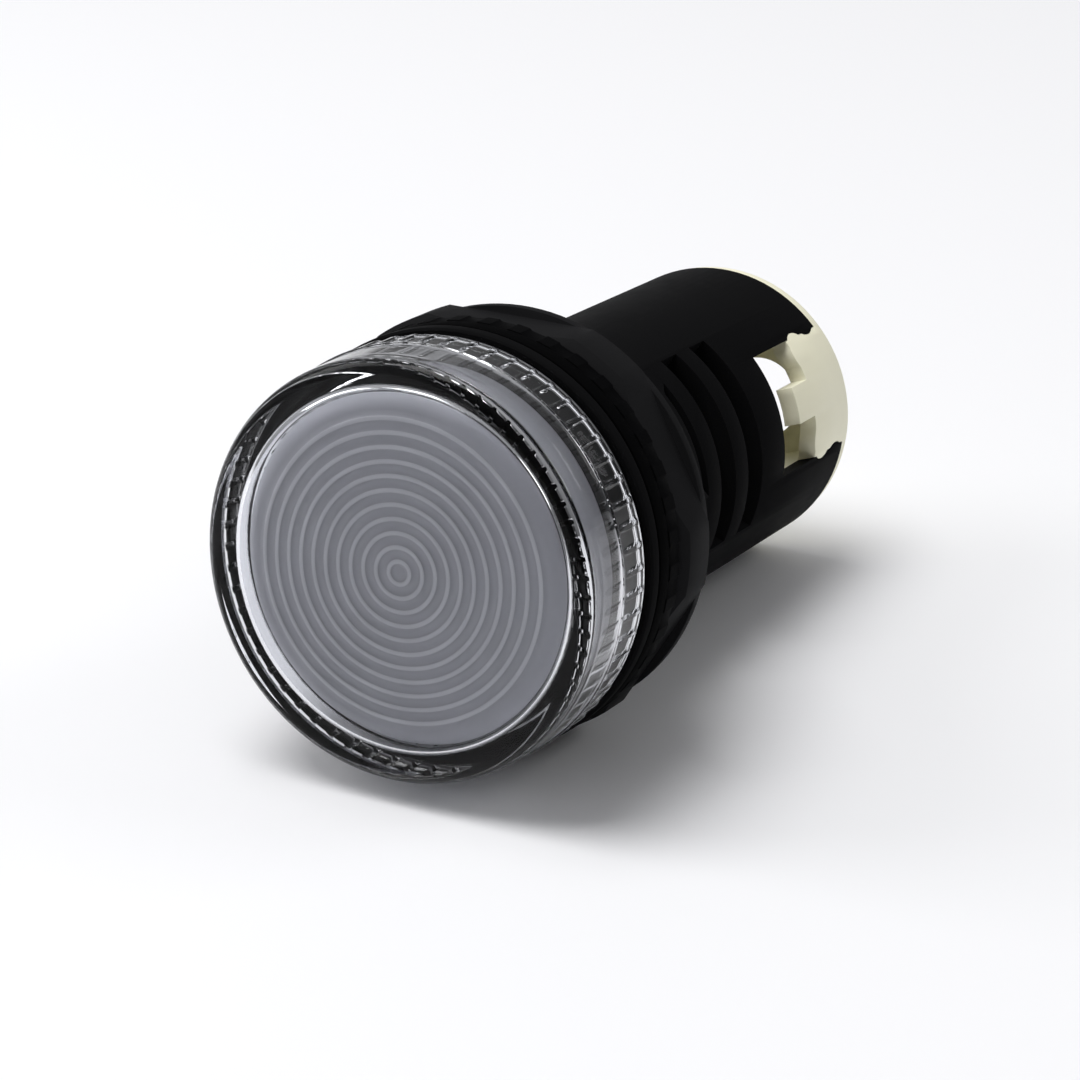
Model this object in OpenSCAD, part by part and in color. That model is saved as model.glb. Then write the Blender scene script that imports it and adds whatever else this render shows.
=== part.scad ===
// Panel pilot light, 22 mm hole size, with a ribbed clear cap over a ringed diffuser,
// a slotted black barrel and a cream terminal block in the barrel's rear windows.
// +Y runs along the axis from the panel's front face to the terminals, +Z is up,
// and the origin is on the axis at the panel's front face. Millimetres.

/* [Housing barrel] */
// Outside diameter of the mounting thread
thread_d = 21.9; // [21.6:0.1:22.2]
// How far the barrel's surface lies inside the thread's crests
barrel_inset = 0.55; // [0.5:0.05:1]
// Wall thickness of the barrel
barrel_wall = 1.3; // [1:0.1:1.6]
// Length of the barrel behind the panel's front face
barrel_len = 37.6; // [36.8:0.2:40]
// Length of the mounting thread behind the panel's front face
thread_len = 10.8; // [9.8:0.1:11]
// Pitch of the mounting thread
thread_pitch = 1; // [0.75:0.25:1]

/* [Vent slots] */
// Number of slots on each side
slot_count = 3; // [1:1:3]
// Width of each slot along the axis
slot_w = 2.4; // [1.6:0.1:2.8]
// Distance from one slot to the next
slot_pitch = 4.45; // [4.1:0.05:4.6]
// Distance from the end of the thread to the first slot
slot_gap = 0.8; // [0.4:0.1:1]
// Angle that each slot spans round the barrel
slot_span = 80; // [50:5:100]

/* [Rear windows] */
// Width of each window across the barrel
window_w = 8.7; // [8:0.1:9.2]
// Length of each window from the barrel's rear end
window_len = 10.8; // [10:0.1:11.4]
// Angle of the window on the right above the horizontal
window_turn = 19.6; // [0:0.1:45]
// Radius of the latch notches in the window's edges
notch_r = 1.6; // [1.2:0.1:1.8]
// Depth of the latch notches
notch_depth = 0.35; // [0.2:0.05:0.4]
// Distance of the latch notches from the barrel's rear end
notch_back = 3.8; // [3.4:0.1:4]
// How far the edges swell in again between the notches and the end
lobe_h = 0.25; // [0.1:0.05:0.3]
// Distance of that swelling from the barrel's rear end
lobe_back = 1.4; // [1.2:0.1:1.6]

/* [Bezel and neck] */
// How far the bezel flange stands out past the thread
bezel_reach = 3.2; // [2.8:0.1:3.5]
// Thickness of the bezel flange
bezel_t = 1.3; // [1.1:0.1:1.6]
// Bevel on the flange's rear edge
bezel_bevel = 0.35; // [0.1:0.05:0.5]
// Bevel on the small edges of the housing and nut
small_bevel = 0.15; // [0.05:0.05:0.2]
// Length of the neck in front of the bezel flange
neck_len = 3; // [2.8:0.1:3.2]
// Wall thickness of the neck
neck_wall = 2.3; // [2:0.1:2.5]

/* [Lens cap] */
// How far the smooth side wall lies inside the bezel's edge
cap_inset = 0.2; // [0.05:0.05:0.4]
// Length of the cap from its face to its rim
cap_len = 7.65; // [7.2:0.05:8]
// Thickness of the side wall
cap_wall = 1.85; // [1.6:0.05:1.9]
// Thickness of the front face
cap_face_t = 1.2; // [0.8:0.1:1.4]
// Radius of the front edge
cap_edge_r = 1.3; // [0.6:0.1:1.6]
// Number of grip ribs
rib_count = 60; // [48:1:72]
// Length of the ribbed band
rib_len = 3; // [2:0.1:3.6]
// Height of the ribs above the side wall
rib_h = 0.14; // [0.08:0.02:0.24]
// Share of each rib's pitch that its crest takes
rib_crest = 0.2; // [0.15:0.05:0.5]
// Pitch of the thread that holds the cap
cap_pitch = 1.5; // [1:0.25:2]

/* [Diffuser] */
// Wall thickness of the diffuser
diffuser_wall = 1; // [0.8:0.1:1.2]
// Radius of the diffuser's shoulder
diffuser_shoulder_r = 1.5; // [1.2:0.1:2]
// Distance from one ring to the next
ring_pitch = 0.92; // [0.6:0.02:0.96]
// Radius of the innermost ring's crest
ring_first_r = 0.75; // [0.5:0.05:0.9]
// Height of each ring above the diffuser's face
ring_h = 0.11; // [0.06:0.01:0.13]
// Width of each ring at its foot
ring_w = 0.4; // [0.3:0.05:0.5]

/* [Seals and mounting nut] */
// Thickness of the seal behind the cap's rim
seal_t = 0.5; // [0.4:0.05:0.6]
// How far the seal sits inside the cap's side wall
seal_recess = 0.25; // [0.1:0.05:0.4]
// Thickness of the panel gasket
gasket_t = 1.3; // [1:0.1:1.6]
// How far the gasket's edge lies inside the bezel's edge
gasket_inset = 0.05; // [0.05:0.05:0.3]
// Thickness of the toothed lock washer
washer_t = 1.45; // [1:0.05:1.6]
// How far the lock washer's edge lies inside the bezel's edge
washer_inset = 0.1; // [0.05:0.05:0.3]
// Number of teeth round the lock washer
washer_teeth = 40; // [24:1:48]
// Share of each tooth's pitch that its crest takes
washer_crest = 0.4; // [0.3:0.05:0.6]
// Height of the lock washer's teeth
washer_tooth_h = 0.1; // [0.05:0.05:0.2]
// Thickness of the mounting nut
nut_t = 4.4; // [3.8:0.1:4.6]
// How far the middle of each flat lies inside the bezel's edge
nut_flat_inset = 0.7; // [0.4:0.05:0.9]
// How far the nut's corners stand out past the bezel's edge
nut_corner_rise = 0.3; // [0.1:0.05:0.6]
// How far the thin rim on the nut's rear face lies inside the bezel's edge
nut_rim_inset = 0.1; // [0:0.05:0.4]
// Thickness of that rim
nut_rim_t = 0.7; // [0.4:0.1:1]
// Bevel on the corners at the nut's front face
nut_bevel = 0.8; // [0.4:0.1:1]

/* [Terminal block] */
// Thickness of the block's rear wall
block_rear_t = 1.4; // [1.2:0.1:1.8]
// How far the block stands out behind the barrel
block_lip = 1.1; // [0.8:0.1:1.4]
// How far the edge of the block's rear lip lies inside the barrel's surface
lip_inset = 0.15; // [0.1:0.05:0.4]
// Thickness of the tongue that fills the rear of each window
tongue_t = 1.25; // [1:0.05:1.3]
// Length of the tongue in front of the barrel's rear end
tongue_len = 5.15; // [4.8:0.05:5.4]
// Width of the tab on the tongue
tab_w = 2.65; // [2.2:0.05:3]
// Length of the tab on the tongue
tab_len = 2.65; // [2.2:0.05:2.9]
// Gap round each screw's head in the screwdriver holes
access_gap = 0.3; // [0.2:0.05:0.4]
// Thickness of the web between the two wire chambers
web_t = 1.2; // [1:0.1:1.4]
// Gap between each terminal plate and the web
web_gap = 0.2; // [0.1:0.05:0.3]
// How far the side walls of a wire chamber lie outside the window's edges
chamber_step = 0.05; // [0.05:0.05:0.3]
// How far the floor of a chamber lies in front of the window's edge
floor_step = 0.8; // [0.6:0.1:1]
// Depth of the block in front of the wire chambers
block_front_t = 2.5; // [2:0.1:3]

/* [Terminals] */
// Diameter of the terminal screws
screw_d = 3; // [2.6:0.1:3]
// Pitch of the terminal screws
screw_pitch = 0.5; // [0.35:0.05:0.6]
// Length of the screw below its head
screw_len = 5.2; // [4.8:0.1:5.6]
// Gap round the screw in the block's floor
screw_clear = 0.3; // [0.2:0.05:0.4]
// Gap round the screw in the clamp washer
clamp_clear = 0.15; // [0.1:0.05:0.2]
// Bevel on the screw's head
head_bevel = 0.4; // [0.2:0.1:0.5]
// Length of the short arm of the cross in the screw's head
cross_len = 3; // [2.4:0.1:3.4]
// Diameter of the screw's head
screw_head_d = 5.4; // [5:0.1:5.6]
// Height of the screw's head
screw_head_h = 2; // [1.6:0.1:2.2]
// Thickness of the terminal plate
plate_t = 1; // [0.8:0.1:1.2]
// Length and width of the terminal plate
plate_w = 6.4; // [6:0.1:6.6]
// Thickness of the square clamp washer
clamp_t = 0.8; // [0.6:0.1:1]
// Length and width of the clamp washer
clamp_w = 5.8; // [5.6:0.1:6]
// Width of the tail from each plate to the driver board
tail_w = 2.4; // [2:0.1:3]
// Thickness of the tail
tail_t = 0.6; // [0.4:0.1:0.8]
// Length of tail that lies on the driver board
tail_overlap = 3; // [2:0.5:4]
// Width of the slot across each screw head
driver_slot_w = 0.8; // [0.6:0.1:1]
// Depth of that slot
driver_slot_depth = 1; // [0.6:0.1:1.2]

/* [Boards and parts on them] */
// Thickness of both circuit boards
board_t = 1.6; // [1.2:0.1:1.6]
// How far the front board is set back inside the neck
board_recess = 0.4; // [0.2:0.1:0.6]
// Distance between the front board and the driver board
board_spacing = 1; // [0.6:0.1:1.4]
// Width of the pins that join the two boards
pin_w = 0.6; // [0.5:0.1:0.8]
// Distance from one pin to the next
pin_pitch = 2.5; // [2:0.1:2.6]
// Number of light-emitting diodes round the front board
led_count = 6; // [3:1:6]
// Diameter of each diode's dome
led_d = 4.8; // [3:0.1:4.8]
// Height of each diode
led_h = 2.8; // [2:0.1:2.8]
// Diameter of the ring that the diodes stand on
led_ring_d = 12; // [11:0.2:12.4]
// Distance of the dropper capacitor behind the panel's front face
dropper_front = 4; // [2:0.5:6]
// Length of the dropper capacitor
dropper_len = 10; // [7:0.5:11]
// Width of the dropper capacitor
dropper_w = 11; // [8:0.5:12]
// Height of the dropper capacitor above the board
dropper_h = 5.5; // [4:0.1:5.6]
// Distance of the filter capacitor and resistors behind the panel's front face
filter_front = 10; // [9:0.5:11]
// Diameter of the filter capacitor
filter_d = 5; // [4:0.1:5]
// Length of the filter capacitor
filter_len = 8; // [6:0.5:9]
// How far the filter capacitor's middle lies inside the driver board's edge
filter_edge = 4.015; // [3.8:0.005:4.4]
// Distance of the bridge rectifier behind the panel's front face
rectifier_front = 1; // [0:0.5:2]
// Length of the bridge rectifier
rectifier_len = 6; // [5:0.1:6.6]
// Width of the bridge rectifier
rectifier_w = 6.5; // [5:0.1:8]
// Height of the bridge rectifier above the board
rectifier_h = 2.6; // [2:0.1:3]
// Diameter of each resistor
resistor_d = 2.4; // [1.8:0.1:2.5]
// Length of each resistor
resistor_len = 6.4; // [5:0.1:7]
// Distance from one resistor to the other
resistor_pitch = 3; // [2.7:0.1:3.2]

/* [Fits] */
// Gap between pieces that turn or slide on each other
running_gap = 0.05; // [0.02:0.01:0.1]
// Gap round pieces that are pushed in and latched
push_gap = 0.05; // [0.03:0.01:0.1]
// Gap between the diffuser's rim and the cap's bore
diffuser_gap = 0.3; // [0.2:0.05:0.4]
// Gap between the diffuser's face and the cap's face
face_gap = 0.25; // [0.2:0.05:0.3]
// Gap between pieces that are soldered or glued together
joint_gap = 0.02; // [0.01:0.01:0.03]

/* [Hidden] */
$fn = 96;
ONE_SIDE = 180;
HEX_SIDES = 6;
TOOTH_FLANK = 0.08;
PIN_HOLE_SHARE = 0.5;

thread_r = thread_d / 2;
barrel_r = thread_r - barrel_inset;
bore_r = barrel_r - barrel_wall;
bezel_r = thread_r + bezel_reach;
bezel_rear = -gasket_t;
bezel_front = bezel_rear - bezel_t;
neck_front = bezel_front - neck_len;
seal_front = bezel_front - seal_t;
cap_rim = seal_front - running_gap;
cap_front = cap_rim - cap_len;
cap_r = bezel_r - cap_inset;
cap_bore_r = cap_r - cap_wall;
neck_r = cap_bore_r - running_gap;
neck_bore_r = neck_r - neck_wall;
seal_outer_r = cap_r - seal_recess;

diffuser_r = cap_bore_r - diffuser_gap;
diffuser_front = cap_front + cap_face_t + face_gap;
diffuser_rear = neck_front - running_gap;
ring_count = floor((diffuser_r - diffuser_shoulder_r - ring_first_r - ring_w / 2) / ring_pitch) + 1;

slot_first = thread_len + slot_gap;
window_front = barrel_len - window_len;
notch_y = barrel_len - notch_back;
lobe_y = barrel_len - lobe_back;
tongue_front = barrel_len - tongue_len;
tongue_inner_r = barrel_r - tongue_t;
block_r = bore_r - push_gap;
lip_front = barrel_len + push_gap;
block_end = barrel_len + block_lip;
rear_wall_front = block_end - block_rear_t;
chamber_floor = window_front - floor_step;
block_front = chamber_floor - block_front_t;
plate_rear = chamber_floor + plate_t;
clamp_front = plate_rear + running_gap;
clamp_rear = clamp_front + clamp_t;
screw_under_head = clamp_rear + running_gap;
screw_tip = screw_under_head - screw_len;
screw_r = screw_d / 2;
screw_head_r = screw_head_d / 2;
screw_offset = web_t / 2 + web_gap + plate_w / 2;

washer_front = running_gap;
nut_front = washer_front + washer_t + running_gap;
nut_rear = nut_front + nut_t;
nut_flat_r = bezel_r - nut_flat_inset;
nut_corner_r = bezel_r + nut_corner_rise;
nut_rim_r = bezel_r - nut_rim_inset;
gasket_r = bezel_r - gasket_inset;
washer_r = bezel_r - washer_inset;
nut_bore_r = thread_r + running_gap;

led_board_front = neck_front + board_recess;
led_board_rear = led_board_front + board_t;
driver_front = led_board_rear + board_spacing;
driver_rear = block_front - joint_gap;
driver_x = board_t / 2;
driver_half_w = sqrt(pow(bore_r, 2) - pow(driver_x, 2)) - push_gap;
on_board_x = driver_x + joint_gap;
tail_front = driver_rear - tail_overlap;
pin_x = on_board_x + pin_w / 2;

// Corners of a ring of teeth: each crest takes the given share of the pitch.
function toothed_ring(count, low_r, high_r, crest) = [
    for (i = [0 : count - 1])
        let (pitch = 360 / count, half = pitch * crest / 2, flank = pitch * TOOTH_FLANK)
            for (p = [
                [-half - flank, low_r], [-half, high_r], [half, high_r], [half + flank, low_r]
            ])
                p[1] * [cos(i * pitch + p[0]), sin(i * pitch + p[0])]
];

// Stands a shape drawn along +Z along +Y instead, with its +X kept.
module along_axis() {
    rotate([-90, 0, 0]) children();
}

// The same, turned so that +X points through the right-hand window.
module along_axis_turned() {
    along_axis() rotate([0, 0, -window_turn]) children();
}

// Puts a shape at a distance along the axis.
module at(y) {
    translate([0, 0, y]) children();
}

// Puts a shape on one side of the axis: 0 is the right-hand window, ONE_SIDE the other.
module on_side(side) {
    rotate([0, 0, side]) children();
}

// Repeats a shape at both windows.
module both_sides() {
    for (side = [0, ONE_SIDE]) on_side(side) children();
}

// A round tube between two places on the axis.
module tube(from, to, outer_r, inner_r) {
    rotate_extrude() translate([inner_r, from]) square([outer_r - inner_r, to - from]);
}

// A solid cylinder between two places on the axis.
module rod(from, to, r) {
    at(from) cylinder(h = to - from, r = r);
}

// A box from its smallest corner to its largest.
module block(from, to) {
    translate(from) cube(to - from);
}

// Outline of a window, across the barrel by along the axis, smaller all round by gap.
// Its edges dip at the latch notches and swell in again towards the open end.
module window_outline(front, gap) {
    half = window_w / 2 - gap;
    reach = notch_r - gap;
    difference() {
        union() {
            translate([-half, front]) square([2 * half, block_end - front]);
            for (side = [-1, 1])
                translate([side * (half + notch_depth - reach), notch_y]) circle(r = reach);
        }
        for (side = [-1, 1])
            translate([side * (half + notch_r), lobe_y]) circle(r = notch_r + lobe_h);
    }
}

// The window's outline carried out from inside the bore through the barrel's wall.
module through_window(front, gap) {
    translate([bore_r / 2, 0, 0]) rotate([90, 0, 90])
        linear_extrude(height = barrel_r) window_outline(front, gap);
}

module vent_slots() {
    cut = barrel_wall / 2;
    for (i = [0 : slot_count - 1])
        at(slot_first + i * slot_pitch) rotate([0, 0, -slot_span / 2])
            rotate_extrude(angle = slot_span)
                translate([bore_r - cut, 0]) square([barrel_wall + 2 * cut, slot_w]);
}

module housing() {
    color("#1b1b1c") along_axis_turned() difference() {
        rotate_extrude() polygon([
            [neck_bore_r, neck_front],
            [neck_r - small_bevel, neck_front],
            [neck_r, neck_front + small_bevel],
            [neck_r, bezel_front],
            [bezel_r - small_bevel, bezel_front],
            [bezel_r, bezel_front + small_bevel],
            [bezel_r, bezel_rear - bezel_bevel],
            [bezel_r - bezel_bevel, bezel_rear],
            [thread_r, bezel_rear],
            [thread_r, thread_len - (thread_r - barrel_r)],
            [barrel_r, thread_len],
            [barrel_r, barrel_len],
            [bore_r, barrel_len],
            [bore_r, led_board_rear],
            [neck_bore_r, led_board_rear]
        ]);
        both_sides() vent_slots();
        both_sides() through_window(window_front, 0);
    }
}

module lens_cap() {
    ribs_front = cap_rim - rib_len;
    color("#e8eef2", 0.35) along_axis() difference() {
        union() {
            rotate_extrude() {
                translate([0, cap_front]) square([cap_r - cap_edge_r, cap_len]);
                translate([0, cap_front + cap_edge_r]) square([cap_r, ribs_front - cap_front - cap_edge_r]);
                intersection() {
                    translate([cap_r - cap_edge_r, cap_front + cap_edge_r]) circle(r = cap_edge_r);
                    translate([0, cap_front]) square([cap_r, cap_len]);
                }
            }
            at(ribs_front) linear_extrude(height = rib_len)
                polygon(toothed_ring(rib_count, cap_r - rib_h / 2, cap_r + rib_h, rib_crest));
        }
        rod(cap_front + cap_face_t, cap_rim + cap_wall, cap_bore_r);
    }
}

module diffuser() {
    shoulder = diffuser_shoulder_r;
    inner_shoulder = shoulder - diffuser_wall;
    inner_r = diffuser_r - diffuser_wall;
    color("#8c8a8c") along_axis() {
        rotate_extrude() difference() {
            union() {
                translate([0, diffuser_front])
                    square([diffuser_r - shoulder, diffuser_wall]);
                intersection() {
                    translate([diffuser_r - shoulder, diffuser_front + shoulder])
                        circle(r = shoulder);
                    translate([diffuser_r - shoulder, diffuser_front])
                        square([shoulder, shoulder]);
                }
                translate([inner_r, diffuser_front + shoulder])
                    square([diffuser_wall, diffuser_rear - diffuser_front - shoulder]);
            }
            translate([inner_r - inner_shoulder, diffuser_front + shoulder])
                circle(r = inner_shoulder);
        }
        rotate_extrude() for (i = [0 : ring_count - 1])
            translate([ring_first_r + i * ring_pitch, diffuser_front]) polygon([
                [-ring_w / 2, 0], [-ring_w / 8, -ring_h], [ring_w / 8, -ring_h], [ring_w / 2, 0],
                [0, diffuser_wall / 2]
            ]);
    }
}

module cap_seal() {
    color("#111112") along_axis() tube(seal_front, bezel_front, seal_outer_r, neck_r + joint_gap);
}

module panel_gasket() {
    color("#111112") along_axis() tube(bezel_rear, 0, gasket_r, thread_r + push_gap);
}

module lock_washer() {
    color("#1d1d1e") along_axis() at(washer_front) linear_extrude(height = washer_t) difference() {
        polygon(toothed_ring(washer_teeth, washer_r, washer_r + washer_tooth_h, washer_crest));
        circle(r = nut_bore_r);
    }
}

module mounting_nut() {
    hex_r = nut_flat_r / cos(180 / HEX_SIDES);
    color("#202021") along_axis() difference() {
        union() {
            intersection() {
                at(nut_front) cylinder(h = nut_t - nut_rim_t, r = hex_r, $fn = HEX_SIDES);
                rotate_extrude() polygon([
                    [0, nut_front],
                    [nut_corner_r - nut_bevel, nut_front],
                    [nut_corner_r, nut_front + nut_bevel],
                    [nut_corner_r, nut_rear],
                    [0, nut_rear]
                ]);
            }
            rod(nut_rear - nut_rim_t, nut_rear, nut_rim_r);
        }
        rod(nut_front - nut_t, nut_rear + nut_t, nut_bore_r);
    }
}

module led_board() {
    color("#1f5a38") along_axis_turned() difference() {
        rod(led_board_front, led_board_rear, neck_bore_r - push_gap);
        pins(pin_w / 2);
    }
}

module leds() {
    color("#e9d9a0") along_axis_turned()
        for (i = [0 : led_count - 1]) rotate([0, 0, i * 360 / led_count])
            translate([led_ring_d / 2, 0, led_board_front - joint_gap])
                rotate([180, 0, 0]) rotate_extrude() intersection() {
                    union() {
                        square([led_d / 2, led_h - led_d / 2]);
                        translate([0, led_h - led_d / 2]) circle(r = led_d / 2);
                    }
                    square([led_d, led_h]);
                }
}

module driver_board() {
    color("#1f5a38") along_axis_turned()
        block([-driver_x, -driver_half_w, driver_front], [driver_x, driver_half_w, driver_rear]);
}

// The pins' shapes, thicker all round by more than their own width when cutting their holes.
module pins(extra) {
    half = pin_w / 2 + extra * PIN_HOLE_SHARE;
    for (i = [-1 : 1])
        block(
            [pin_x - half, i * pin_pitch - half, led_board_front - pin_w],
            [pin_x + half, i * pin_pitch + half, driver_front + tail_overlap]
        );
}

module board_pins() {
    color("#c9a24a") along_axis_turned() pins(0);
}

module dropper_capacitor() {
    color("#c8b13a") along_axis_turned()
        block(
            [on_board_x, -dropper_w / 2, dropper_front],
            [on_board_x + dropper_h, dropper_w / 2, dropper_front + dropper_len]
        );
}

module filter_capacitor() {
    r = filter_d / 2;
    color("#26262a") along_axis_turned()
        translate([-on_board_x - r, driver_half_w - filter_edge, filter_front])
            cylinder(h = filter_len, r = r);
}

module bridge_rectifier() {
    color("#2a2a2c") along_axis_turned()
        block(
            [-on_board_x - rectifier_h, -rectifier_w / 2, rectifier_front],
            [-on_board_x, rectifier_w / 2, rectifier_front + rectifier_len]
        );
}

module resistors() {
    r = resistor_d / 2;
    color("#7fa7b8") along_axis_turned()
        for (i = [0, 1])
            translate([-on_board_x - r, -resistor_d - i * resistor_pitch, filter_front])
                cylinder(h = resistor_len, r = r);
}

// The wire chamber behind the right-hand window and the ways into it for screw and tail.
module wire_chamber() {
    half = window_w / 2 + chamber_step;
    block([web_t / 2, -half, chamber_floor], [barrel_r, half, rear_wall_front]);
    translate([screw_offset, 0, 0])
        rod(block_front - plate_t, chamber_floor + plate_t, screw_r + screw_clear);
    block(
        [on_board_x - push_gap, -tail_w / 2 - push_gap, block_front - plate_t],
        [on_board_x + tail_t + push_gap, tail_w / 2 + push_gap, chamber_floor + plate_t]
    );
}

module terminal_block() {
    color("#d8d2ad") along_axis_turned() difference() {
        union() {
            difference() {
                union() {
                    rod(block_front, block_end, block_r);
                    rod(lip_front, block_end, barrel_r - lip_inset);
                }
                both_sides() wire_chamber();
            }
            both_sides() intersection() {
                tube(tongue_front - tab_len, lip_front + push_gap, barrel_r, tongue_inner_r);
                union() {
                    through_window(tongue_front, push_gap);
                    block(
                        [0, -tab_w / 2, tongue_front - tab_len],
                        [2 * barrel_r, tab_w / 2, barrel_len]
                    );
                }
            }
        }
        both_sides() translate([screw_offset, 0, 0])
            rod(rear_wall_front - block_rear_t, block_end + block_rear_t, screw_head_r + access_gap);
    }
}

module terminal_plate(side) {
    color("#c9a24a") along_axis_turned() on_side(side) difference() {
        union() {
            block(
                [screw_offset - plate_w / 2, -plate_w / 2, chamber_floor],
                [screw_offset + plate_w / 2, plate_w / 2, plate_rear]
            );
            block(
                [on_board_x, -tail_w / 2, tail_front],
                [on_board_x + tail_t, tail_w / 2, plate_rear]
            );
        }
        translate([screw_offset, 0, 0])
            rod(chamber_floor - plate_t, plate_rear + plate_t, screw_r + running_gap);
    }
}

module terminal_plate_right() {
    terminal_plate(0);
}

module terminal_plate_left() {
    terminal_plate(ONE_SIDE);
}

module clamp_washer(side) {
    color("#b9b9b6") along_axis_turned() on_side(side) translate([screw_offset, 0, 0]) difference() {
        block([-clamp_w / 2, -clamp_w / 2, clamp_front], [clamp_w / 2, clamp_w / 2, clamp_rear]);
        rod(clamp_front - clamp_t, clamp_rear + clamp_t, screw_r + clamp_clear);
    }
}

module clamp_washer_right() {
    clamp_washer(0);
}

module clamp_washer_left() {
    clamp_washer(ONE_SIDE);
}

// A straight recess in a screw's head, reaching the same way to both sides.
module recess(reach, head_top) {
    block(
        [-reach, -driver_slot_w / 2, head_top - driver_slot_depth],
        [reach, driver_slot_w / 2, head_top + driver_slot_depth]
    );
}

module terminal_screw(side) {
    head_top = screw_under_head + screw_head_h;
    color("#c4c4c0") along_axis_turned() on_side(side) translate([screw_offset, 0, 0]) difference() {
        rotate_extrude() polygon([
            [0, screw_tip],
            [screw_r - screw_pitch, screw_tip],
            [screw_r, screw_tip + screw_pitch],
            [screw_r, screw_under_head],
            [screw_head_r, screw_under_head],
            [screw_head_r, head_top - head_bevel],
            [screw_head_r - head_bevel, head_top],
            [0, head_top]
        ]);
        recess(screw_head_d, head_top);
        rotate([0, 0, 90]) recess(cross_len / 2, head_top);
    }
}

module terminal_screw_right() {
    terminal_screw(0);
}

module terminal_screw_left() {
    terminal_screw(ONE_SIDE);
}

lens_cap();
diffuser();
cap_seal();
housing();
panel_gasket();
lock_washer();
mounting_nut();
led_board();
leds();
driver_board();
board_pins();
dropper_capacitor();
filter_capacitor();
bridge_rectifier();
resistors();
terminal_block();
terminal_plate_right();
terminal_plate_left();
clamp_washer_right();
clamp_washer_left();
terminal_screw_right();
terminal_screw_left();
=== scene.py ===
import math
import bpy
import bmesh
from mathutils import Matrix, Vector

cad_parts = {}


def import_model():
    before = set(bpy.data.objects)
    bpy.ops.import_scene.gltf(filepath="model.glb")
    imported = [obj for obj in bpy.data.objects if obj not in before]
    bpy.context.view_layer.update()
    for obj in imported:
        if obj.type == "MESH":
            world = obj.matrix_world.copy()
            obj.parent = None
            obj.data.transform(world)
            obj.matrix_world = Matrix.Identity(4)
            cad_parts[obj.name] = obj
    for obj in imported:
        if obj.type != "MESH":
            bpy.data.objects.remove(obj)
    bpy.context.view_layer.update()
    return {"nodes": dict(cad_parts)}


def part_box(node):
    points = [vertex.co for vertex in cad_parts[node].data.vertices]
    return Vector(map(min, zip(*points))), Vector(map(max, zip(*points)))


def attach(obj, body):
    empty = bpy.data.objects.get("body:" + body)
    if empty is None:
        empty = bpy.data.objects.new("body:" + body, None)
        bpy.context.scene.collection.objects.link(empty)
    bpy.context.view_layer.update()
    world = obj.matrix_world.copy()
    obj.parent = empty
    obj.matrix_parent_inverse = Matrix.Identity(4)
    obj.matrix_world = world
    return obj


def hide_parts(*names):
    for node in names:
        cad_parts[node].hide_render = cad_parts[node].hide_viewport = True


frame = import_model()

MM = 0.001
TAU = 2 * math.pi


# ---------------------------------------------------------------- sizes in mm, from the frame
def span(node, axis):
    low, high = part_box(node)
    return low[axis] / MM, high[axis] / MM


CAP_FRONT, CAP_RIM = span("lens_cap", 1)
CAP_RIB_R = span("lens_cap", 0)[1]
DIFFUSER_FRONT, DIFFUSER_REAR = span("diffuser", 1)
DIFFUSER_R = span("diffuser", 0)[1]
BARREL_END = span("housing", 1)[1]
WASHER_REAR = span("lock_washer", 1)[1]
WASHER_R = span("lock_washer", 2)[1]

# Sizes of the same part that a box doesn't give.
CAP_WALL_R = CAP_RIB_R - 0.14
CAP_FACE = 1.2
CAP_BORE_R = 12.1
RIB_COUNT = 60
RIB_LENGTH = 3.0
THREAD_R = 10.95
THREAD_PITCH = 1.0
BARREL_R = 10.4
BORE_R = 9.1
WINDOW_DEGREES = 19.6


# ---------------------------------------------------------------- materials
GRAIN_DEPTH = 0.2  # of the grain's width
CLEAR = {"Transmission_Weight": 1.0, "IOR": 1.5, "Specular_Tint": (0.2, 0.2, 0.2, 1)}


def node_of(tree, kind, **inputs):
    node = tree.nodes.new(kind)
    for name, value in inputs.items():
        node.inputs[name.replace("_", " ")].default_value = value
    return node


def surface(
    name, colour, roughness, mottle=0.08, grain=0.1, bump=0.25, wear=0.06, spot=3.0, **values
):
    """A surface whose colour and roughness drift over spot mm, with a grain in mm pressed in."""
    material = bpy.data.materials.new(name)
    material.use_nodes = True
    tree = material.node_tree
    shader = tree.nodes["Principled BSDF"]
    for socket, value in values.items():
        shader.inputs[socket.replace("_", " ")].default_value = value
    spread = tree.nodes.new("ShaderNodeTexCoord")
    drift = node_of(tree, "ShaderNodeTexNoise", Scale=1 / (spot * MM), Detail=4.0)
    fine = node_of(tree, "ShaderNodeTexNoise", Scale=1 / (grain * MM), Detail=3.0)
    tree.links.new(spread.outputs["Object"], drift.inputs["Vector"])
    tree.links.new(spread.outputs["Object"], fine.inputs["Vector"])
    tint = node_of(tree, "ShaderNodeMapRange", To_Min=1 - mottle, To_Max=1 + mottle)
    tree.links.new(drift.outputs["Fac"], tint.inputs["Value"])
    shade = tree.nodes.new("ShaderNodeVectorMath")
    shade.operation = "SCALE"
    shade.inputs[0].default_value = colour
    tree.links.new(tint.outputs["Result"], shade.inputs["Scale"])
    tree.links.new(shade.outputs["Vector"], shader.inputs["Base Color"])
    rough = node_of(
        tree, "ShaderNodeMapRange", To_Min=max(roughness - wear, 0.0), To_Max=roughness + wear,
    )
    tree.links.new(drift.outputs["Fac"], rough.inputs["Value"])
    tree.links.new(rough.outputs["Result"], shader.inputs["Roughness"])
    if bump:
        press = node_of(
            tree, "ShaderNodeBump", Strength=bump, Distance=grain * MM * GRAIN_DEPTH,
        )
        tree.links.new(fine.outputs["Fac"], press.inputs["Height"])
        tree.links.new(press.outputs["Normal"], shader.inputs["Normal"])
    return material


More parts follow.
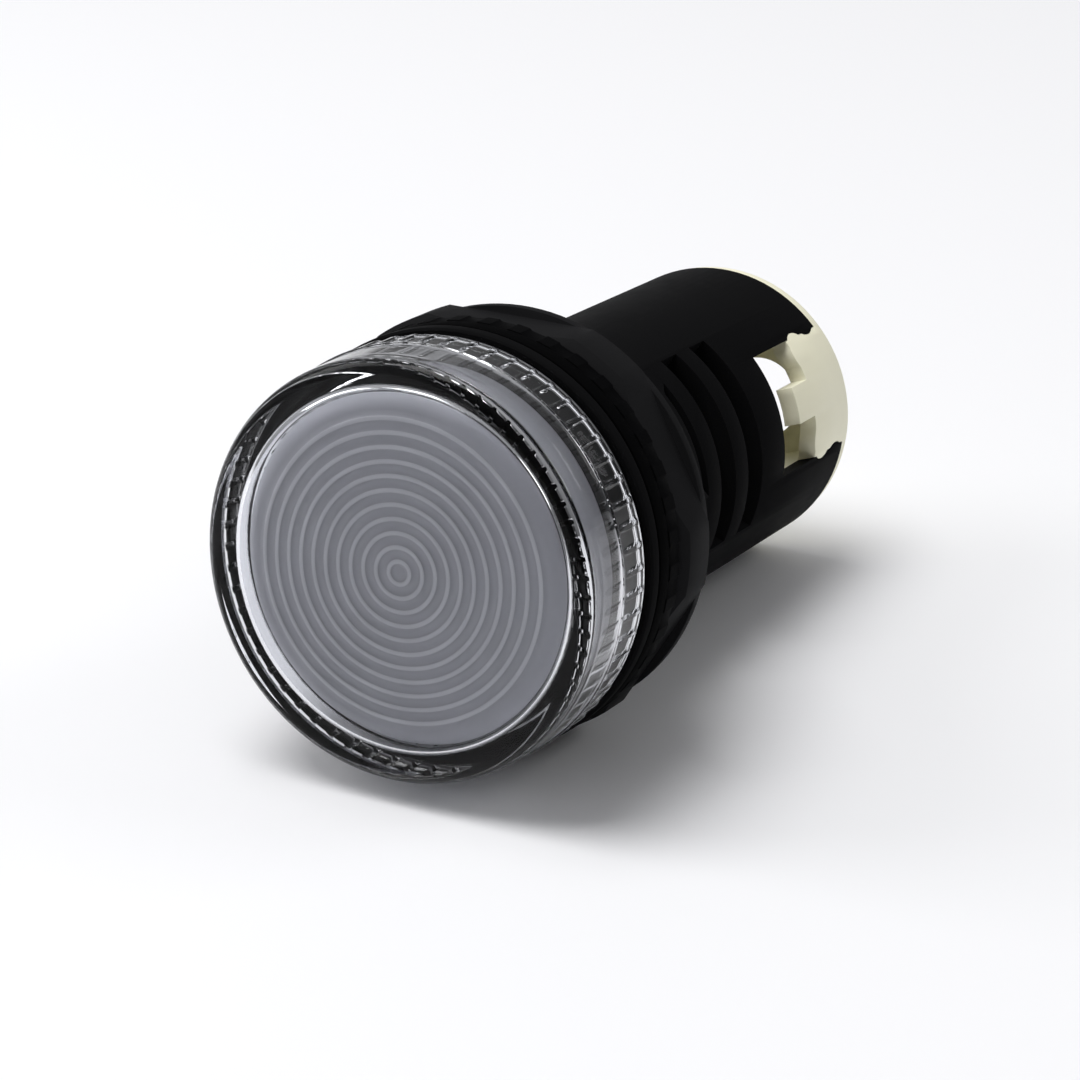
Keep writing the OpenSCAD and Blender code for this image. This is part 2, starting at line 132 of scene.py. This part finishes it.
MATERIALS = {
    "clear_polycarbonate": surface(
        "clear_polycarbonate", (0.83, 0.84, 0.87), 0.004, mottle=0.03, wear=0.004, bump=0,
        **CLEAR,
    ),
    # A darker copy of the clear plastic for the ribbed grip: its darker tint is painted shade, its
    # higher roughness is real.
    "clear_grip_painted_shade": surface(
        "clear_grip_painted_shade", (0.5, 0.51, 0.54), 0.05, mottle=0.03, wear=0.02, bump=0, **CLEAR,
    ),
    "frosted_white": surface(
        "frosted_white", (0.57, 0.57, 0.6), 0.34, mottle=0.05, grain=0.12, bump=0.12,
        Specular_IOR_Level=0.4,
    ),
    # A lighter copy of the diffuser plastic for the ring crests: a painted highlight.
    "ring_crest_painted_highlight": surface(
        "ring_crest_painted_highlight", (0.82, 0.82, 0.84), 0.2, mottle=0.05, grain=0.12, bump=0.05,
        Specular_IOR_Level=0.6,
    ),
    "black_nylon": surface(
        "black_nylon", (0.006, 0.006, 0.0064), 0.5, grain=0.12, bump=0.35,
        Specular_IOR_Level=0.003,
    ),
    "black_nut": surface(
        "black_nut", (0.013, 0.013, 0.0138), 0.46, grain=0.12, bump=0.35,
        Specular_IOR_Level=0.01,
    ),
    "black_rubber": surface(
        "black_rubber", (0.0018, 0.0018, 0.002), 0.75, grain=0.15, bump=0.5,
        Specular_IOR_Level=0.01,
    ),
    "black_washer_steel": surface(
        "black_washer_steel", (0.0022, 0.0022, 0.0025), 0.6, grain=0.2, bump=0.3,
        Specular_IOR_Level=0.012,
    ),
    "cream_plastic": surface(
        "cream_plastic", (0.95, 0.92, 0.71), 0.42, mottle=0.04, grain=0.15, bump=0.2,
        Specular_IOR_Level=0.35,
    ),
    "plated_steel": surface(
        "plated_steel", (0.62, 0.62, 0.6), 0.28, grain=0.15, bump=0.2, Metallic=1.0,
    ),
    "brass_plate": surface(
        "brass_plate", (0.62, 0.45, 0.2), 0.35, mottle=0.1, grain=0.15, bump=0.2, Metallic=1.0,
    ),
    "board_green": surface(
        "board_green", (0.02, 0.13, 0.055), 0.35, mottle=0.15, grain=0.2, bump=0.2,
    ),
    "led_resin": surface(
        "led_resin", (0.75, 0.68, 0.42), 0.2, mottle=0.04, grain=0.3, bump=0.05,
    ),
    "film_yellow": surface(
        "film_yellow", (0.55, 0.42, 0.06), 0.3, mottle=0.05, grain=0.2, bump=0.15,
    ),
    "sleeve_black": surface("sleeve_black", (0.02, 0.02, 0.025), 0.25, grain=0.3, bump=0.1),
    "resin_black": surface("resin_black", (0.015, 0.015, 0.016), 0.55, bump=0.4),
    "resistor_blue": surface("resistor_blue", (0.18, 0.36, 0.46), 0.4, grain=0.2, bump=0.15),
}


# ---------------------------------------------------------------- mesh helpers
WELD_DISTANCE = 1e-7
SHARP_DEGREES = 32


def linked(name, data):
    """A new object of this mesh, lamp or camera, in the scene."""
    thing = bpy.data.objects.new(name, data)
    bpy.context.scene.collection.objects.link(thing)
    return thing


def place(name, mesh, material, body, slot, *nodes):
    """Makes a shown piece of a mesh: it rides on a body and stands for the named CAD nodes."""
    piece = linked(name, mesh)
    mesh.materials.clear()
    mesh.materials.append(MATERIALS[material])
    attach(piece, body)
    if nodes:
        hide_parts(*nodes)


def paint(mesh, material, chosen):
    """Gives a second material to the faces whose chosen(radius, distance along), in mm, is true."""
    mesh.materials.append(MATERIALS[material])
    for polygon in mesh.polygons:
        x, y, z = polygon.center
        polygon.material_index = 1 if chosen(math.hypot(x, z) / MM, y / MM) else 0


def smooth(mesh, angle=SHARP_DEGREES):
    for polygon in mesh.polygons:
        polygon.use_smooth = True
    mesh.set_sharp_from_angle(angle=math.radians(angle))


def point(radius, turn, along):
    """A place at a radius and a distance along the axis, both in mm, and a turn in radians."""
    return (radius * math.cos(turn) * MM, along * MM, radius * math.sin(turn) * MM)


def ease(t):
    """Rises from 0 to 1 between t of 0 and 1, level at both ends."""
    t = min(max(t, 0), 1)
    return t * t * (3 - 2 * t)


def finished(build, mesh):
    """Writes the build to the mesh, with its faces turned outwards."""
    bmesh.ops.recalc_face_normals(build, faces=build.faces)
    build.to_mesh(mesh)
    build.free()
    return mesh


def lathe(name, profile, segments, angle, shift=None):
    """Turns a closed profile of (radius, distance along the axis) in mm round the axis.
    shift(turn, index) moves a profile point outwards by that many mm."""
    mesh = bpy.data.meshes.new(name)
    build = bmesh.new()
    rings = []
    for i, (radius, along) in enumerate(profile):
        if radius == 0:
            tip = build.verts.new((0, along * MM, 0))
            rings.append([tip] * segments)
            continue
        ring = []
        for k in range(segments):
            turn = TAU * k / segments
            r = radius + (shift(turn, i) if shift else 0)
            ring.append(build.verts.new(point(r, turn, along)))
        rings.append(ring)
    for a, b in zip(rings, rings[1:] + rings[:1]):
        if a[0] is a[1] and b[0] is b[1]:
            continue
        for k in range(segments):
            j = (k + 1) % segments
            corners = []
            for v in (a[k], a[j], b[j], b[k]):
                if v not in corners:
                    corners.append(v)
            build.faces.new(corners)
    finished(build, mesh)
    smooth(mesh, angle)
    return mesh


def arc(centre, radius, start, end, steps):
    """Points of an arc from start to end degrees, the ends included."""
    out = []
    for i in range(steps + 1):
        t = math.radians(start + (end - start) * i / steps)
        out.append((centre[0] + radius * math.cos(t), centre[1] + radius * math.sin(t)))
    return out


def solid_copy(node):
    """The CAD node's mesh with its faces joined, ready for a modifier."""
    mesh = frame["nodes"][node].data.copy()
    build = bmesh.new()
    build.from_mesh(mesh)
    bmesh.ops.remove_doubles(build, verts=build.verts, dist=WELD_DISTANCE)
    bmesh.ops.dissolve_limit(
        build, angle_limit=math.radians(0.5), verts=build.verts, edges=build.edges
    )
    build.to_mesh(mesh)
    build.free()
    return mesh


def modify(piece, kind, settings):
    modifier = piece.modifiers.new(kind.lower(), kind)
    for key, value in settings.items():
        setattr(modifier, key, value)


def worked(mesh, *steps):
    """The mesh after some modifiers, each given as (kind, settings)."""
    holder = linked("holder", mesh)
    for kind, settings in steps:
        modify(holder, kind, settings)
    bpy.context.view_layer.update()
    shaped = holder.evaluated_get(bpy.context.evaluated_depsgraph_get())
    result = bpy.data.meshes.new_from_object(shaped)
    bpy.data.objects.remove(holder)
    return result


def edge_bevel(width, segments=2, angle=28):
    return (
        "BEVEL",
        {
            "width": width * MM, "segments": segments, "limit_method": "ANGLE",
            "angle_limit": math.radians(angle), "harden_normals": False,
        },
    )


def boolean(operation, other):
    return "BOOLEAN", {"object": other, "operation": operation, "solver": "EXACT"}


# ---------------------------------------------------------------- lens cap
def lens_cap():
    """The clear cap: face, rounded edge, wall that widens to a bead, ribs, rim and bore."""
    edge, edge_steps = 0.95, 18
    draft, wall_steps = 0.08, 5
    bead_length, bead_height, bead_steps = 0.36, 0.12, 8
    rib_height, rib_steps = 0.15, 8
    rib_gap, rib_flank = 0.66, 0.18  # shares of half a rib's pitch
    rib_front_taper, rib_rear_taper = 0.5, 0.35
    rib_start, rib_stop = 0.04, 0.3
    rim_edge = 0.12
    mouth, mouth_middle = 0.25, 0.08
    corner, corner_steps = 0.7, 10
    face_rings, inside_rings = (0, 4.0, 8.0, 11.0), (9.0, 5.0, 0)

    ribs_front = CAP_RIM - RIB_LENGTH
    floor_r = CAP_WALL_R - 0.06
    wall_front, wall_rear = CAP_FRONT + edge, ribs_front - bead_length
    inside = CAP_FRONT + CAP_FACE

    profile = [(r, CAP_FRONT) for r in face_rings]
    profile += arc((CAP_WALL_R - edge - draft, wall_front), edge, 270, 360, edge_steps)
    for i in range(1, wall_steps + 1):
        t = i / wall_steps
        profile.append((CAP_WALL_R - draft * (1 - t), wall_front + (wall_rear - wall_front) * t))
    for i in range(1, bead_steps + 1):
        rise = bead_height * math.sin(math.pi * i / bead_steps)
        profile.append((CAP_WALL_R + rise, wall_rear + bead_length * i / bead_steps))
    grip = len(profile)
    for i in range(rib_steps + 1):
        reach = (RIB_LENGTH - rib_start - rib_stop) * i / rib_steps
        profile.append((floor_r, ribs_front + rib_start + reach))
    grip_end = len(profile)
    profile += [(floor_r, CAP_RIM - 2 * rim_edge), (floor_r, CAP_RIM - rim_edge)]
    profile += [(floor_r - rim_edge, CAP_RIM), (CAP_BORE_R + mouth, CAP_RIM)]
    profile += [(CAP_BORE_R + mouth_middle, CAP_RIM - mouth_middle)]
    profile += [(CAP_BORE_R, y) for y in (CAP_RIM - mouth, CAP_RIM - 2.6, inside + 2.4)]
    profile += arc((CAP_BORE_R - corner, inside + corner), corner, 0, -90, corner_steps)
    profile += [(r, inside) for r in inside_rings]

    def rib(turn, index):
        if not grip <= index < grip_end:
            return 0
        off = abs((turn * RIB_COUNT / TAU) % 1 - 0.5) * 2
        tapers = {grip: rib_front_taper, grip_end - 1: rib_rear_taper}
        return rib_height * ease((off - rib_gap) / rib_flank) * tapers.get(index, 1)

    mesh = lathe("lens_cap_detail", profile, segments=RIB_COUNT * 12, angle=50, shift=rib)
    place(
        "lens_cap_detail", mesh, "clear_polycarbonate", "lens_cap", "clear_polycarbonate",
        "lens_cap",
    )
    # The ribbed grip gets the darker copy of the clear plastic, which paints shade into the rib
    # zone.
    paint(
        mesh, "clear_grip_painted_shade",
        lambda r, y: r > floor_r + 0.02 and ribs_front + 0.05 < y < CAP_RIM - 0.15,
    )


# ---------------------------------------------------------------- diffuser
def diffuser():
    """The white dish behind the cap: a face that sags to its edge, with round rings on it."""
    ring_first, ring_pitch, ring_count = 0.75, 0.92, 11
    ring_width, ring_height, ring_steps = 0.4, 0.11, 4
    shoulder_width, shoulder_depth, shoulder_steps = 1.45, 1.5, 18
    sag, flat_r = 0.2, DIFFUSER_R - shoulder_width
    edge, wall = 0.1, 1
    face = DIFFUSER_FRONT + ring_height

    def drop(r):
        return sag * (min(r, flat_r) / flat_r) ** 4

    profile = [(0, face), (0.35, face)]
    for i in range(ring_count):
        crest = ring_first + i * ring_pitch
        for k in range(-ring_steps, ring_steps + 1):
            wave = math.sqrt(1 - (k / ring_steps) ** 2)
            r = crest + ring_width * k / (2 * ring_steps)
            profile.append((r, face + drop(r) - ring_height * wave))
    for i in range(1, shoulder_steps + 1):
        t = math.pi / 2 * i / shoulder_steps
        profile.append((
            flat_r + shoulder_width * math.sin(t),
            face + sag + shoulder_depth * (1 - math.cos(t)),
        ))
    profile += [(DIFFUSER_R, DIFFUSER_REAR - edge), (DIFFUSER_R - edge, DIFFUSER_REAR)]
    inner_r = DIFFUSER_R - wall
    profile += [(inner_r + edge, DIFFUSER_REAR), (inner_r, DIFFUSER_REAR - edge)]
    profile += [(inner_r, face + 1.8), (inner_r - 0.5, face + 1.3)]
    profile += [(6, face + 1.1), (0, face + wall)]
    mesh = lathe("diffuser_detail", profile, segments=288, angle=60)
    place("diffuser_detail", mesh, "frosted_white", "diffuser", "frosted_white", "diffuser")
    # The ring crests get the lighter copy of the plastic, a painted highlight along each ring.
    paint(mesh, "ring_crest_painted_highlight", lambda r, y: y < face + drop(r) - 0.6 * ring_height)


# ---------------------------------------------------------------- housing
def helix_cutter(radius, depth, pitch, start, end, steps=72):
    """A triangular groove wound round the axis, open to the outside."""
    mesh = bpy.data.meshes.new("groove")
    build = bmesh.new()
    outside = radius + 0.12  # past the crests, so that the cut opens outwards
    total = int((end - start) / pitch * steps)
    rings = []
    for i in range(total + 1):
        turn = TAU * i / steps
        along = start + pitch * i / steps
        rings.append([
            build.verts.new(point(r, turn, along + offset))
            for r, offset in (
                (outside, -0.5 * pitch), (radius - depth, 0.0), (outside, 0.42 * pitch),
            )
        ])
    for a, b in zip(rings, rings[1:]):
        for k in range(3):
            j = (k + 1) % 3
            build.faces.new((a[k], a[j], b[j], b[k]))
    build.faces.new(rings[0])
    build.faces.new(list(reversed(rings[-1])))
    return finished(build, mesh)


def slot_filler(front, rear, opening, start, end, taper=7.0, steps=360):
    """A ring in the barrel's wall that leaves a narrow opening at its rear between start and
    end, in degrees from the window's middle, on both sides of the barrel."""
    mesh = bpy.data.meshes.new("filler")
    build = bmesh.new()
    inner, outer = BORE_R + 0.01, BARREL_R - 0.01
    rings = []
    for i in range(steps):
        degrees = 360 * i / steps
        off = (degrees - WINDOW_DEGREES + 90) % 180 - 90
        last = rear - opening * ease(min(off - start, end - off) / taper)
        turn = math.radians(degrees)
        rings.append([
            build.verts.new(Vector((math.cos(turn) * r, y, math.sin(turn) * r)) * MM)
            for r, y in ((inner, front), (outer, front), (outer, last), (inner, last))
        ])
    for a, b in zip(rings, rings[1:] + rings[:1]):
        for k in range(4):
            j = (k + 1) % 4
            build.faces.new((a[k], a[j], b[j], b[k]))
    return finished(build, mesh)


def housing():
    """The housing with a real thread on it and the slot nearest the nut narrowed."""
    ring = linked("filler", slot_filler(front=11.3, rear=14.3, opening=1.15, start=-17, end=34))
    body = worked(solid_copy("housing"), boolean("UNION", ring), edge_bevel(0.09))
    bpy.data.objects.remove(ring)
    groove = helix_cutter(THREAD_R, depth=0.52, pitch=THREAD_PITCH, start=3.2, end=10.3)
    cutter = linked("groove", groove)
    cut = worked(body, boolean("DIFFERENCE", cutter))
    bpy.data.objects.remove(cutter)
    smooth(cut)
    place("housing_detail", cut, "black_nylon", "housing", "black_nylon", "housing")


# ---------------------------------------------------------------- CAD nodes that keep their shape
def dress(node, material, bevel):
    """Gives a CAD node its material and, where bevel isn't 0, edges rounded by that many mm."""
    piece = frame["nodes"][node]
    piece.data.materials.clear()
    piece.data.materials.append(MATERIALS[material])
    if bevel:
        modify(piece, "WELD", {"merge_threshold": WELD_DISTANCE})
        modify(piece, *edge_bevel(bevel))
    smooth(piece.data)


lens_cap()
diffuser()
housing()
for node, material, bevel in (
    ("cap_seal", "black_rubber", 0.0),
    ("panel_gasket", "black_rubber", 0.08),
    ("lock_washer", "black_washer_steel", 0.05),
    ("mounting_nut", "black_nut", 0.12),
    ("led_board", "board_green", 0.0),
    ("leds", "led_resin", 0.0),
    ("driver_board", "board_green", 0.0),
    ("board_pins", "brass_plate", 0.0),
    ("dropper_capacitor", "film_yellow", 0.3),
    ("filter_capacitor", "sleeve_black", 0.3),
    ("bridge_rectifier", "resin_black", 0.2),
    ("resistors", "resistor_blue", 0.3),
    ("terminal_block", "cream_plastic", 0.1),
    ("terminal_plate_right", "brass_plate", 0.06),
    ("terminal_plate_left", "brass_plate", 0.06),
    ("clamp_washer_right", "plated_steel", 0.06),
    ("clamp_washer_left", "plated_steel", 0.06),
    ("terminal_screw_right", "plated_steel", 0.06),
    ("terminal_screw_left", "plated_steel", 0.06),
):
    dress(node, material, bevel)


# ---------------------------------------------------------------- floor, camera and light
# The lamp lies on its side: lock washer and rear end touch the floor.
FRONT_TOUCH = Vector((0, WASHER_REAR, -WASHER_R)) * MM
REAR_TOUCH = Vector((0, BARREL_END, -BARREL_R)) * MM
ALONG_FLOOR = (REAR_TOUCH - FRONT_TOUCH).normalized()
FLOOR_UP = ALONG_FLOOR.cross(Vector((-1, 0, 0))).normalized()
FLOOR_HALF = 3.0  # m

# The camera, fitted to the circles in the photo. Place and lens in mm.
CAMERA_PLACE = (100.47, -192.33, 70.29)
CAMERA_RIGHT = (0.88726, 0.45874, 0.04825)
CAMERA_UP = (-0.18290, 0.25386, 0.94979)
CAMERA_LENS = 116.74

LAMP_AIM = Vector((0, 0.01, 0))  # m
BRIGHT_SIDE = (-0.55, 0.25, 0.8)


def facing(x, y, z):
    """The turn that brings the three axes to these directions."""
    return Matrix((x, y, z)).transposed().to_4x4()


def floor():
    half = FLOOR_HALF
    mesh = bpy.data.meshes.new("floor")
    mesh.from_pydata(
        [(-half, -half, 0), (half, -half, 0), (half, half, 0), (-half, half, 0)],
        [], [(0, 1, 2, 3)],
    )
    plane = linked("floor", mesh)
    turn = facing(Vector((1, 0, 0)), ALONG_FLOOR, FLOOR_UP)
    plane.matrix_world = Matrix.Translation(FRONT_TOUCH) @ turn
    material = bpy.data.materials.new("pale_table")
    material.use_nodes = True
    shader = material.node_tree.nodes["Principled BSDF"]
    shader.inputs["Base Color"].default_value = (0.9, 0.9, 0.915, 1)
    shader.inputs["Roughness"].default_value = 0.55
    shader.inputs["Specular IOR Level"].default_value = 0.25
    mesh.materials.append(material)


def camera():
    right = Vector(CAMERA_RIGHT)
    back = right.cross(Vector(CAMERA_UP)).normalized()
    up = back.cross(right).normalized()
    data = bpy.data.cameras.new("camera")
    data.lens = CAMERA_LENS
    data.sensor_width = 36
    data.clip_start = 0.005
    eye = linked("camera", data)
    eye.matrix_world = Matrix.Translation(Vector(CAMERA_PLACE) * MM) @ facing(right, up, back)
    bpy.context.scene.camera = eye


def softbox(name, azimuth, elevation, distance, size, power):
    data = bpy.data.lights.new(name, "AREA")
    data.shape = "RECTANGLE"
    data.size = data.size_y = size
    data.energy = power
    lamp = linked(name, data)
    a, e = math.radians(azimuth), math.radians(elevation)
    out = Vector((math.sin(a) * math.cos(e), -math.cos(a) * math.cos(e), math.sin(e)))
    lamp.location = out * distance + LAMP_AIM
    lamp.rotation_mode = "QUATERNION"
    lamp.rotation_quaternion = out.to_track_quat("Z", "Y")


def world():
    """Soft light, strongest from above and the left, weakest from below and the front right."""
    sky = bpy.data.worlds.new("studio")
    bpy.context.scene.world = sky
    sky.use_nodes = True
    tree = sky.node_tree
    tree.nodes.clear()
    out = tree.nodes.new("ShaderNodeOutputWorld")
    direction = tree.nodes.new("ShaderNodeTexCoord")
    toward = tree.nodes.new("ShaderNodeVectorMath")
    toward.operation = "DOT_PRODUCT"
    toward.inputs[1].default_value = BRIGHT_SIDE
    tree.links.new(direction.outputs["Generated"], toward.inputs[0])
    strength = node_of(
        tree, "ShaderNodeMapRange", From_Min=-0.45, To_Min=0.03, To_Max=0.44,
    )
    tree.links.new(toward.outputs["Value"], strength.inputs["Value"])
    light = node_of(tree, "ShaderNodeBackground", Color=(0.975, 0.98, 1.0, 1))
    tree.links.new(strength.outputs["Result"], light.inputs["Strength"])
    tree.links.new(light.outputs[0], out.inputs[0])


floor()
camera()
world()
softbox("key", azimuth=-48, elevation=71, distance=1.2, size=0.7, power=10.6)
softbox("left", azimuth=-66, elevation=34, distance=0.33, size=0.16, power=0.26)
softbox("rim", azimuth=118, elevation=38, distance=1.2, size=0.5, power=2.0)
bpy.context.scene.view_settings.view_transform = "Standard"
